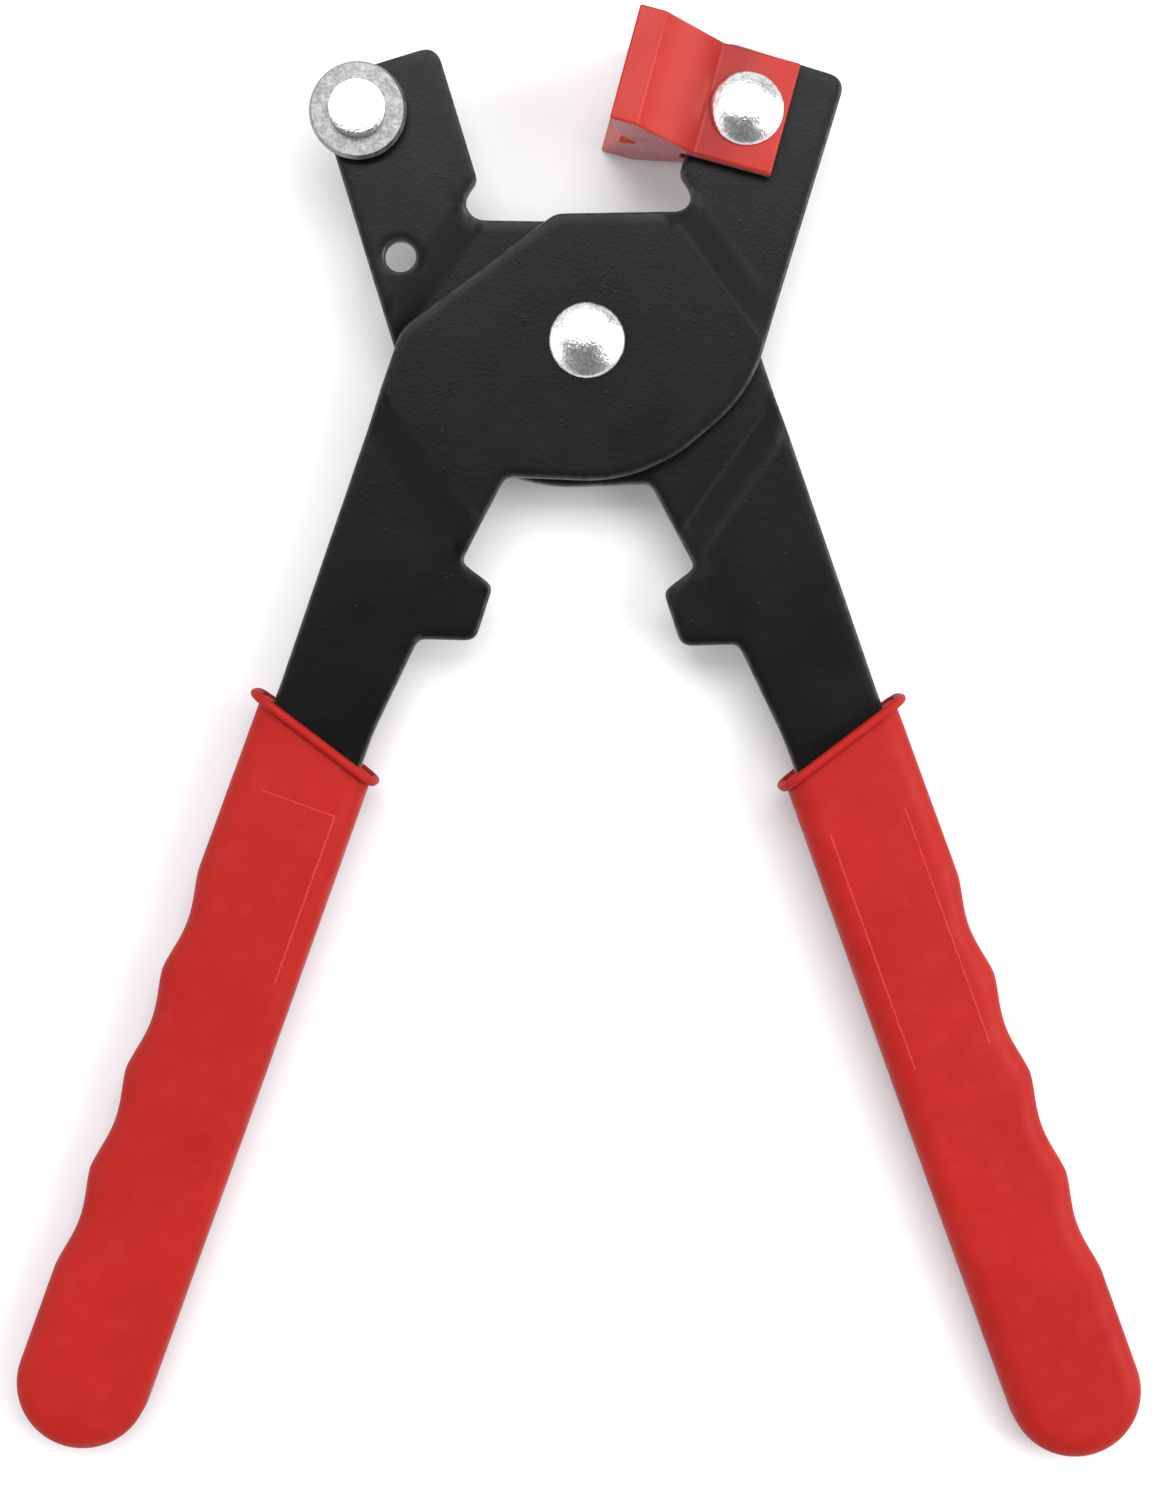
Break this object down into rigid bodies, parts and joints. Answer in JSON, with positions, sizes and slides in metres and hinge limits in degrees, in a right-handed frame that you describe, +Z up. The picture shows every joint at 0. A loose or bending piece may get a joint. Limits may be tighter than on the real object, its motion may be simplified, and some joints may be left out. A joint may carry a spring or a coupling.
{
  "type": "tile nippers",
  "caption": "Hand tile cutting pliers with crossed black stamped levers, red finger-grooved grips, a scoring wheel on one jaw and a winged plastic breaker on the other.",
  "frame": {"origin": "under the middle of the open tool as it lies flat, level with the lower tip of the breaker's wings", "axes": "+Y from the handles to the jaws, +Z up off the flat plates toward the rivet heads, +X toward the breaker's side"},
  "size_m": [0.1702, 0.2156, 0.027],
  "materials": {
    "black_coat": "satin powder coat",
    "red_sleeve": "satin moulded vinyl",
    "red_block": "moulded plastic",
    "bright_rivet": "bright plated",
    "wheel_steel": "matt tumbled",
    "washer_steel": "zinc plated"
  },
  "bodies": {
    "front": {"front_lever": "black_coat", "left_grip": "red_sleeve", "pivot_rivet": "bright_rivet", "pivot_thrust_washer": "washer_steel", "pivot_back_washer": "washer_steel", "breaker_rivet": "bright_rivet", "breaker_back_washer": "washer_steel"},
    "rear": {"rear_lever": "black_coat", "right_grip": "red_sleeve", "wheel_rivet": "bright_rivet", "wheel_spacer": "washer_steel", "wheel_back_washer": "washer_steel"},
    "breaker": {"breaker_jaw": "red_block"},
    "wheel": {"scoring_wheel": "wheel_steel"}
  },
  "joints": [
    {"name": "lever_pivot", "type": "hinge", "parent": "front", "child": "rear", "pos_m": [0.00121, 0.06038, 0.0135], "axis": [0, 0, -1], "range_deg": [-1.5, 37.5]},
    {"name": "breaker_swivel", "type": "hinge", "parent": "front", "child": "breaker", "pos_m": [0.02488, 0.09437, 0.0135], "axis": [0, 0, 1], "range_deg": [-3, 3]},
    {"name": "wheel_spin", "type": "hinge", "parent": "rear", "child": "wheel", "pos_m": [-0.03279, 0.09428, 0.01665], "axis": [0, 0, 1], "continuous": true}
  ]
}
